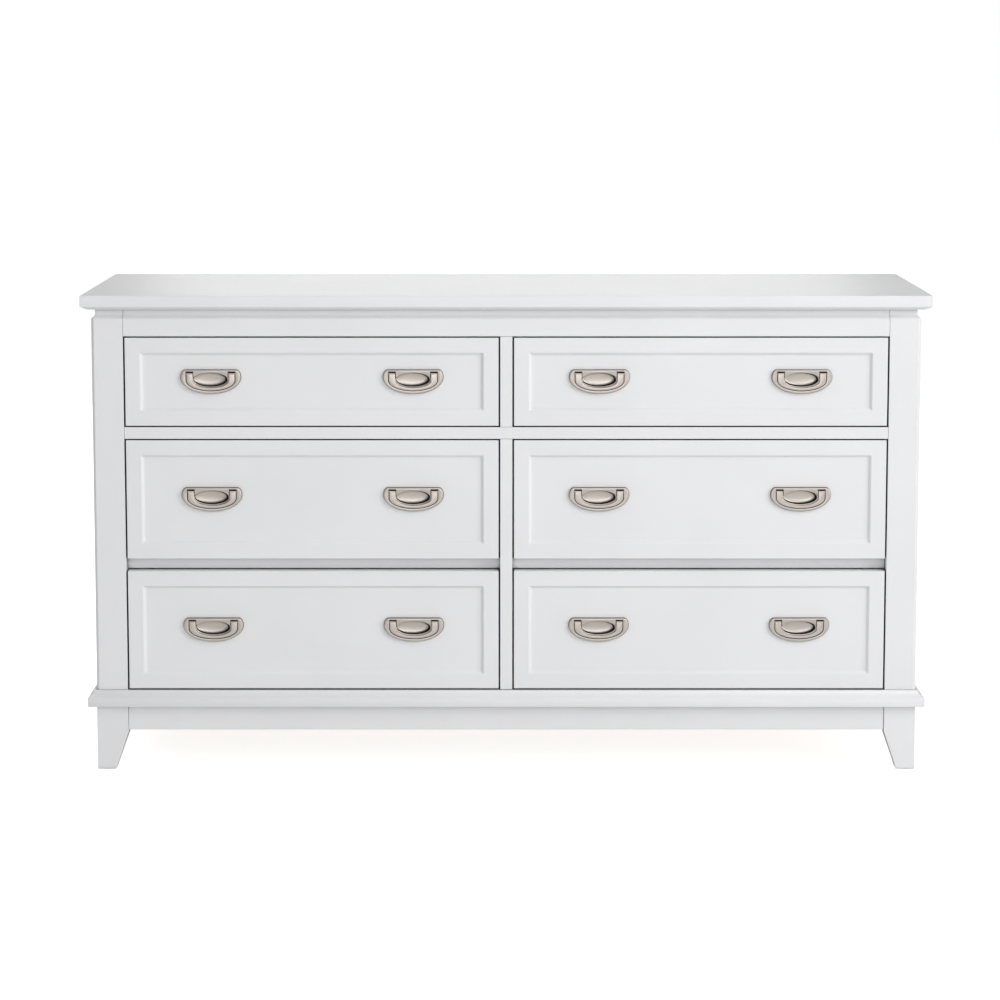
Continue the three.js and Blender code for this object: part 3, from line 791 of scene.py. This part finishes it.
class DRESSER_OT_inside(bpy.types.Operator):
    """Build the partition, dust frames, drawer guides and corner blocks"""

    bl_idname = "dresser.inside"
    bl_label = "Inside"

    def execute(self, context):
        case = context.scene.dresser_case
        low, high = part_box("centre_partition")
        piece("board_partition", plank(low, high, case.arris), "panel_board", ["wood_along_y"],
              nodes=["centre_partition"])
        for row in ROWS:
            self.dust_frame(case, row, high.x)

        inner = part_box("dust_frame_lower")[0]
        bm = bmesh.new()
        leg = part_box("post_front_left")[1]
        size = case.sill_rail * 0.6
        for _, sign in SIDES:
            for y, way in ((leg.y, 1), (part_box("post_rear_left")[0].y, -1)):
                x = abs(inner.x) * sign
                corner = [(x, y, inner.z), (x - sign * size, y, inner.z), (x, y + way * size, inner.z)]
                swept(bm, corner, (0, 0, -size))
        ease(bm, case.arris)
        piece("corner_blocks", bm, "drawer_box_wood", ["wood_along_x"])
        return {"FINISHED"}

    def dust_frame(self, case, row, partition):
        low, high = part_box(f"dust_frame_{row}")
        front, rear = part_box("apron")[1].y, high.y
        top, rail = high.z - case.guide, case.sill_rail
        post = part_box("post_front_right")
        rear_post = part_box("post_rear_right")[0].y
        middle = (low.z + top) / 2
        frames, panels = bmesh.new(), bmesh.new()
        for _, sign in SIDES:
            near, far = partition + HAIR, high.x
            opening = post[0].x - HAIR

            def board(bm, x0, x1, y0, y1, z0, z1, material=0):
                xs = sorted((sign * x0, sign * x1))
                block(bm, (xs[0], y0, z0), (xs[1], y1, z1), material)

            board(frames, near, opening, front + HAIR, front + rail, low.z, top, 2)
            board(frames, near, opening, rear - rail, rear, low.z, top)
            board(frames, near, near + rail * 0.8, front + rail, rear - rail, low.z, top, 1)
            board(frames, opening - rail, opening, front + rail, rear - rail, low.z, top, 1)
            board(frames, opening, far, post[1].y + HAIR, rear_post - HAIR, low.z, top, 1)
            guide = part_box("drawer_box_lower_right")[1].x + 0.002
            board(frames, guide, far, post[1].y + HAIR, rear_post - HAIR, top + 0.0001, high.z, 1)
            board(panels, near + rail * 0.8, opening - rail, front + rail, rear - rail,
                  middle - case.dust_panel / 2, middle + case.dust_panel / 2)
        ease(frames, case.arris)
        piece(f"frame_{row}", frames, "painted_wood", ["wood_along_x", "wood_along_y", "white_paint"],
              nodes=[f"dust_frame_{row}"])
        piece(f"dust_panels_{row}", panels, "panel_board", ["thin_board"])


# ---- Drawers ---------------------------------------------------------------------------------


def pull_nodes(place, part):
    return [f"pull_{part}_{place}_{spot}" for spot in ("outer", "inner")]


class DRESSER_OT_drawer_fronts(bpy.types.Operator):
    """Build the drawer fronts with their sunk panels and the hollows behind the pulls"""

    bl_idname = "dresser.drawer_fronts"
    bl_label = "Drawer fronts"

    def execute(self, context):
        drawers, pull = context.scene.dresser_drawers, context.scene.dresser_pull
        for place in PLACES:
            self.front(drawers, pull, place)
        return {"FINISHED"}

    def front(self, drawers, pull, place):
        low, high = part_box(f"drawer_front_{place}")
        planed = Vector((drawers.relief, 0, drawers.relief))
        bm = bmesh.new()
        block(bm, low + planed, high - planed)
        bm.faces.ensure_lookup_table()
        face = min(bm.faces, key=lambda f: f.calc_center_median().y)
        bmesh.ops.inset_region(bm, faces=[face], thickness=drawers.border, use_even_offset=True)
        bmesh.ops.inset_region(bm, faces=[face], thickness=drawers.slope, depth=-drawers.sink,
                               use_even_offset=True)
        ease(bm, drawers.arris)
        surface = low.y + drawers.sink

        def panel():
            flat = [f for f in bm.faces if all(abs(v.co.y - surface) < 1e-5 for v in f.verts)]
            return [f for f in flat if f.calc_area() > drawers.border ** 2 / 4]

        spots = []
        for node_name in pull_nodes(place, "plate"):
            plate_low, plate_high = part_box(node_name)
            middle = (plate_low + plate_high) / 2
            spots.append(Vector((middle.x, surface, middle.z + pull.cup_rise)))
        half_x, half_z = pull.cup_x + 0.003, pull.cup_z + 0.003
        planes = [((s.x + d * (half_x + 0.005), 0, 0), (1, 0, 0)) for s in spots for d in (-1, 1)]
        planes += [((0, 0, spots[0].z + d * (half_z + 0.005)), (0, 0, 1)) for d in (-1, 1)]
        for co, no in planes:
            faces = panel()
            parts = once(g for f in faces for g in (*f.verts, *f.edges))
            bmesh.ops.bisect_plane(bm, geom=faces + parts, plane_co=co, plane_no=no)
        for spot in spots:
            cell = min(panel(), key=lambda f: (f.calc_center_median() - spot).length)
            rim = list(cell.edges)
            bmesh.ops.delete(bm, geom=[cell], context="FACES_ONLY")
            hole = oval(bm, spot, half_x, half_z, 32, Matrix.Rotation(RIGHT_ANGLE, 4, "X"))
            bmesh.ops.triangle_fill(bm, use_beauty=True, edges=rim + hole, normal=(0, -1, 0))
            floor = deepen(bm, hole, Matrix.Translation((0, 0.0105, 0)))
            bmesh.ops.contextual_create(bm, geom=floor)
        painted(f"front_{place}", bm, body=f"drawer_{place}", nodes=[f"drawer_front_{place}"])


class DRESSER_OT_drawer_boxes(bpy.types.Operator):
    """Build the drawer boxes with their dovetails, bottoms and screws"""

    bl_idname = "dresser.drawer_boxes"
    bl_label = "Drawer boxes"

    def execute(self, context):
        drawers, pull = context.scene.dresser_drawers, context.scene.dresser_pull
        for place in PLACES:
            self.box(drawers, place)
            self.screws(drawers, pull, place)
        return {"FINISHED"}

    def box(self, drawers, place):
        low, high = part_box(f"drawer_box_{place}")
        wall = drawers.wall
        bm = bmesh.new()
        for x in (low.x, high.x - wall):
            block(bm, (x, low.y, low.z), (x + wall, high.y, high.z))
        for y in (low.y, high.y - wall):
            block(bm, (low.x + wall, y, low.z), (high.x - wall, y + wall, high.z), 1)
        ease(bm, drawers.wall_arris, 3)
        count = int((high.z - low.z) // drawers.tail_spacing)
        first = (low.z + high.z - (count - 1) * drawers.tail_spacing) / 2
        proud = 0.0001
        for x, way in ((low.x, -1), (high.x, 1)):
            for y, end in ((low.y, 1), (high.y, -1)):
                for i in range(count):
                    z, half, narrow = first + i * drawers.tail_spacing, drawers.tail / 2, drawers.tail / 3.2
                    corners = ((0.0004, -narrow), (0.0004, narrow), (wall, half), (wall, -half))
                    outline = [(x + way * proud, y + end * along, z + up) for along, up in corners]
                    swept(bm, outline, (-way * 4 * proud, 0, 0), 2)
        body = f"drawer_{place}"
        piece(f"box_{place}", bm, "drawer_box_wood", ["wood_along_y", "wood_along_x", "wood_end"], body=body,
              nodes=[f"drawer_box_{place}"])
        bottom = f"drawer_bottom_{place}"
        piece(f"bottom_{place}", plank(*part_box(bottom), HAIR, 1), "panel_board", ["thin_board"], body=body,
              nodes=[bottom])

    def screws(self, drawers, pull, place):
        low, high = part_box(f"drawer_box_{place}")
        y = low.y + drawers.wall
        bm = bmesh.new()
        reach_x, reach_z = (high.x - low.x) * 0.42, (high.z - low.z) * 0.3
        middle = (low + high) / 2
        spots = [(middle.x + i * reach_x, middle.z + k * reach_z) for i in (-1, 1) for k in (-1, 1)]
        for node_name in pull_nodes(place, "plate"):
            plate = sum(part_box(node_name), Vector()) / 2
            spots += [(plate.x + d * pull.bail_out * 0.6, min(plate.z, high.z - 0.012)) for d in (-1, 1)]
        for x, z in spots:
            stud(bm, (x, y, z), drawers.screw * 1.5, drawers.screw * 0.16, (0, 1, 0))
            stud(bm, (x, y, z), drawers.screw, drawers.screw * 0.5, (0, 1, 0))
            top = y + drawers.screw * 0.5
            # The cross in each head is a thin near-black block, painted shade for the driver recess.
            for half_x, half_z in ((0.0022, 0.0005), (0.0005, 0.0022)):
                block(bm, (x - half_x, top - 0.0012, z - half_z), (x + half_x, top + 0.00005, z + half_z), 1)
        piece(f"screws_{place}", bm, "satin_nickel", ["zinc", "dark_recess"], body=f"drawer_{place}",
              smooth=60)


# ---- Pulls -----------------------------------------------------------------------------------


class DRESSER_OT_pulls(bpy.types.Operator):
    """Build the back plates and drop bails of the pulls"""

    bl_idname = "dresser.pulls"
    bl_label = "Pulls"

    def execute(self, context):
        pull = context.scene.dresser_pull
        plate, bail = self.plate(pull), self.bail(pull)
        for place in PLACES:
            for node_name, bail_node in zip(pull_nodes(place, "plate"), pull_nodes(place, "bail")):
                low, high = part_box(node_name)
                surface = low.y + PLATE_DEPTH
                spot = Matrix.Translation(((low.x + high.x) / 2, surface, (low.z + high.z) / 2))
                stand = spot @ Matrix.Rotation(RIGHT_ANGLE, 4, "X")
                tail = node_name.removeprefix("pull_plate_")
                for made, source, target, body in (
                    (f"backplate_{tail}", plate, node_name, f"drawer_{place}"),
                    (f"bail_{tail}_ring", bail, bail_node, f"bail_{tail}"),
                ):
                    bm = source.copy()
                    bmesh.ops.transform(bm, matrix=stand, verts=bm.verts)
                    piece(made, bm, "satin_nickel", ["satin_nickel", "dark_recess", "darkened_nickel"],
                          body=body, nodes=[target], smooth=40)
        plate.free()
        bail.free()
        return {"FINISHED"}

    def plate(self, p):
        """The plate lies flat: x across, y up, z out of the drawer."""
        low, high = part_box("pull_plate_upper_left_outer")
        half_height = (high.z - low.z) / 2
        base = HAIR
        bm = bmesh.new()
        outline = bmesh.ops.create_circle(bm, cap_ends=True, radius=1, segments=80)["verts"]
        for vert in outline:
            if vert.co.y > NEAR:
                side = 0 if abs(vert.co.x) < NEAR else math.copysign(1, vert.co.x)
                scale, move = (p.corner, half_height - p.belly), side * (p.half_width - p.corner)
            else:
                scale, move = (p.half_width, half_height + p.belly), 0
            vert.co = (vert.co.x * scale[0] + move, vert.co.y * scale[1] + p.belly, base)
        back = bm.faces[:][0]
        grown = bmesh.ops.extrude_face_region(bm, geom=[back])["geom"]
        front = next(g for g in grown if isinstance(g, bmesh.types.BMFace))
        bmesh.ops.translate(bm, vec=(0, 0, p.edge), verts=front.verts)
        bmesh.ops.recalc_face_normals(bm, faces=bm.faces)
        steps, inset, up = 6, 0, 0
        for i in range(1, steps + 1):
            angle = RIGHT_ANGLE * i / steps
            new_inset, new_up = p.dome_in * (1 - math.cos(angle)), p.dome_up * math.sin(angle)
            band = bmesh.ops.inset_region(bm, faces=[front], thickness=new_inset - inset,
                                          depth=new_up - up, use_even_offset=True)["faces"]
            for face in band:
                # The outer three levels of the rim take the dark nickel, a painted dark reflection along the
                # plate's edge.
                face.material_index = 2 if i <= 3 else 0
            inset, up = new_inset, new_up
        crown = front.verts[0].co.z

        outer = list(front.edges)
        bmesh.ops.delete(bm, geom=[front], context="FACES_ONLY")
        dx, dz = p.cup_x + 0.0006, p.cup_z + 0.0006
        start = math.acos(p.tongue / dx)
        verts = [bm.verts.new((p.pocket_half, p.pocket_top, 0))]
        verts += arc(bm, (0, p.bail_rise, 0), p.pocket_half, p.pocket_drop, 0, -math.pi, 36)
        verts += [bm.verts.new((-p.pocket_half, p.pocket_top, 0)), bm.verts.new((-p.tongue, p.pocket_top, 0))]
        verts += arc(bm, (0, p.cup_rise, 0), dx, dz, math.pi - start, 2 * start - math.pi, 28)
        verts += [bm.verts.new((p.tongue, p.pocket_top, 0))]
        for vert in verts:
            vert.co.z = crown
        pocket = ring(bm, verts)
        bmesh.ops.triangle_fill(bm, use_beauty=True, edges=outer + pocket, normal=(0, 0, 1))
        floor_height = 0.0011
        known = set(bm.faces)
        floor = deepen(bm, pocket, Matrix.Translation((0, 0, floor_height - crown)))
        cup_centre = Vector((0, p.cup_rise, floor_height))
        cup = oval(bm, cup_centre, p.cup_x, p.cup_z, 56)
        bmesh.ops.triangle_fill(bm, use_beauty=True, edges=floor + cup, normal=(0, 0, 1))
        # The pocket's floor and walls take the dark nickel, painted shade for the groove round the bail.
        for face in set(bm.faces) - known:
            face.material_index = 2

        # Each level of the dish: its share of the cup's half width and half height, and where its middle
        # goes. The second leaves a crescent of painted shadow, widest at the lower right.
        shape = (p.cup_x, p.cup_z)
        levels = [(0.95, 0.93, -0.0004, 0.0005, 0.0), (0.88, 0.835, -0.0022, 0.00145, -0.0030),
                  (0.84, 0.78, -0.0020, 0.0014, -0.0040), (0.72, 0.61, -0.0014, 0.0010, -0.0046),
                  (0.45, 0.38, -0.0007, 0.0006, -0.0050), (0.18, 0.15, 0.0, 0.0, -0.0052)]
        loop, old, middle = cup, shape, cup_centre
        for index, (kx, ky, x, y, z) in enumerate(levels):
            new = Vector((x, p.cup_rise + y, z))
            size = (shape[0] * kx, shape[1] * ky)
            known = set(bm.faces)
            loop = deepen(bm, loop, reach(middle, old, (*size, new)))
            for face in set(bm.faces) - known:
                face.material_index = int(index == 1)
            old, middle = size, new
        bmesh.ops.contextual_create(bm, geom=loop)

        rear = list(back.edges)
        bmesh.ops.delete(bm, geom=[back], context="FACES_ONLY")
        wall = 0.0012
        outside = oval(bm, (0, p.cup_rise, base), p.cup_x + wall, p.cup_z + wall, 56)
        bmesh.ops.triangle_fill(bm, use_beauty=True, edges=rear + outside, normal=(0, 0, -1))
        close = deepen(bm, outside, reach((0, p.cup_rise, base), (p.cup_x + wall, p.cup_z + wall),
                                          (p.cup_x * 0.88, p.cup_z * 0.84, Vector((0, p.cup_rise, -0.0086)))))
        bmesh.ops.contextual_create(bm, geom=close)
        bmesh.ops.bevel(bm, geom=pocket, offset=0.00045, offset_type="OFFSET", segments=2, profile=0.5,
                        affect="EDGES", clamp_overlap=True, material=-1)
        # Near-black blocks fill the slots over the bail, painted shade where the slots would lie in shadow.
        for sign in (-1, 1):
            xs = sorted((sign * (p.tongue + 0.0002), sign * (p.pocket_half - 0.0002)))
            block(bm, (xs[0], p.pivot + p.sweep, floor_height), (xs[1], p.pocket_top - 0.0002, 0.0053), 1)
        bmesh.ops.recalc_face_normals(bm, faces=bm.faces)
        return bm

    def bail(self, p):
        """The bail lies flat in its pocket, with round knuckles and stub pins."""
        bm = bmesh.new()
        inner_z = p.cup_z + HAIR
        start = math.acos((p.bail_in - 0.0006) / p.bail_in)
        verts = arc(bm, (0, p.bail_rise, 0), p.bail_out, p.bail_drop, math.pi, math.pi, 40)
        verts += [bm.verts.new((p.bail_out, p.pivot, 0)), bm.verts.new((p.bail_in - 0.0006, p.pivot, 0))]
        verts += arc(bm, (0, p.cup_rise, 0), p.bail_in, inner_z, -start, 2 * start - math.pi, 36)
        verts += [bm.verts.new((0.0006 - p.bail_in, p.pivot, 0)), bm.verts.new((-p.bail_out, p.pivot, 0))]
        bmesh.ops.contextual_create(bm, geom=ring(bm, verts))
        face = bm.faces[:][0]
        grown = bmesh.ops.extrude_face_region(bm, geom=[face])["geom"]
        top = [g for g in grown if isinstance(g, bmesh.types.BMVert)]
        bmesh.ops.translate(bm, vec=(0, 0, p.bail), verts=top)
        bmesh.ops.translate(bm, vec=(0, 0, p.pivot_out - p.bail / 2), verts=bm.verts)
        bmesh.ops.recalc_face_normals(bm, faces=bm.faces)
        ease(bm, p.bail_round, 4, [e for e in bm.edges if e.calc_face_angle(0) > 1])
        for sign in (-1, 1):
            xs = sorted((sign * (p.bail_in - 0.0004), sign * (p.bail_out + 0.0002)))
            bar(bm, p.knuckle, *xs, p.pivot, p.pivot_out, 24)
            xs = sorted((sign * (p.bail_out - 0.001), sign * (p.bail_out + 0.0018)))
            bar(bm, p.pin, *xs, p.pivot, p.pivot_out, 12)
        return bm


# ---- Stage -----------------------------------------------------------------------------------


class DRESSER_OT_stage(bpy.types.Operator):
    """Set the floor, lights and camera"""

    bl_idname = "dresser.stage"
    bl_label = "Stage"

    def execute(self, context):
        scene, studio = context.scene, context.scene.dresser_studio
        scene.view_settings.view_transform = "Standard"
        self.floor(scene, studio)
        self.world(scene, studio)
        middle = (CAD_LOW + CAD_HIGH) / 2
        for name, angles, distance, size in SOFTBOXES:
            self.softbox(scene, name, middle, angles, distance, size, getattr(studio, name))
        camera = bpy.data.objects.new("camera", bpy.data.cameras.new("camera"))
        scene.collection.objects.link(camera)
        camera.location = studio.camera
        camera.rotation_euler = (RIGHT_ANGLE - studio.tilt, 0, 0)
        camera.data.lens = studio.lens
        camera.data.shift_y = studio.shift
        camera.data.dof.use_dof = False
        scene.camera = camera
        return {"FINISHED"}

    def floor(self, scene, studio):
        bm = bmesh.new()
        bmesh.ops.create_grid(bm, x_segments=4, y_segments=4, size=30)
        data = bpy.data.meshes.new("floor")
        bm.to_mesh(data)
        bm.free()
        made = bpy.data.objects.new("floor", data)
        scene.collection.objects.link(made)
        material = bpy.data.materials.new("pale_floor")
        material.use_nodes = True
        tree = material.node_tree
        tree.nodes.clear()
        where = node(tree, "TexCoord").outputs["Object"]
        tone = ranged(tree, noise(tree, where, 3.0).outputs[0], 0.3, 0.7, 0.86, 0.90)
        glow = ranged(tree, node(tree, "LightPath").outputs["Is Camera Ray"], 0.0, 1.0, 0.0, studio.floor)
        shader = node(tree, "BsdfPrincipled", [
            ("Base Color", tone), ("Roughness", 0.7), ("Emission Color", (1, 1, 1, 1)),
            ("Emission Strength", glow)])
        node(tree, "OutputMaterial", [("Surface", shader.outputs[0])])
        data.materials.append(material)

    def world(self, scene, studio):
        world = bpy.data.worlds.new("room")
        scene.world = world
        world.use_nodes = True
        tree = world.node_tree
        tree.nodes.clear()
        seen = node(tree, "LightPath").outputs["Is Camera Ray"]
        strength = ranged(tree, seen, 0.0, 1.0, studio.fill, 1.0)
        sky = node(tree, "Background", [("Color", (1, 1, 1, 1)), ("Strength", strength)])
        node(tree, "OutputWorld", [("Surface", sky.outputs[0])])

    def softbox(self, scene, name, middle, angles, distance, size, power):
        """A square soft light; angles are round from the front to the right, and up, in degrees."""
        turn, up = (math.radians(a) for a in angles)
        away = Vector((math.sin(turn) * math.cos(up), -math.cos(turn) * math.cos(up), math.sin(up)))
        light = bpy.data.lights.new(name, "AREA")
        light.shape = "SQUARE"
        light.size, light.energy = size, power
        made = bpy.data.objects.new(name, light)
        made.location = middle + away * distance
        made.rotation_mode = "QUATERNION"
        made.rotation_quaternion = (-away).to_track_quat("-Z", "Y")
        scene.collection.objects.link(made)


# ---- Panel and registration ------------------------------------------------------------------

OPERATORS = (
    DRESSER_OT_finishes,
    DRESSER_OT_top_board,
    DRESSER_OT_posts,
    DRESSER_OT_face_frame,
    DRESSER_OT_sides,
    DRESSER_OT_back,
    DRESSER_OT_moulding,
    DRESSER_OT_inside,
    DRESSER_OT_drawer_fronts,
    DRESSER_OT_drawer_boxes,
    DRESSER_OT_pulls,
    DRESSER_OT_stage,
)


class DRESSER_PT_panel(bpy.types.Panel):
    """Steps and settings of the dresser"""

    bl_idname = "DRESSER_PT_panel"
    bl_label = "Dresser"
    bl_space_type = "VIEW_3D"
    bl_region_type = "UI"
    bl_category = "Dresser"

    def draw(self, context):
        for step in OPERATORS:
            self.layout.operator(step.bl_idname)
        for name, settings in SETTINGS.items():
            box = self.layout.box()
            for key in settings.__annotations__:
                box.prop(getattr(context.scene, name), key)


def register():
    for item in (*SETTINGS.values(), *OPERATORS, DRESSER_PT_panel):
        bpy.utils.register_class(item)
    for name, settings in SETTINGS.items():
        setattr(bpy.types.Scene, name, bpy.props.PointerProperty(type=settings))


def unregister():
    for name in SETTINGS:
        delattr(bpy.types.Scene, name)
    for item in (DRESSER_PT_panel, *reversed(OPERATORS), *reversed(SETTINGS.values())):
        bpy.utils.unregister_class(item)


def main():
    register()
    for step in OPERATORS:
        family, name = step.bl_idname.split(".")
        getattr(getattr(bpy.ops, family), name)()


if __name__ == "__main__":
    main()
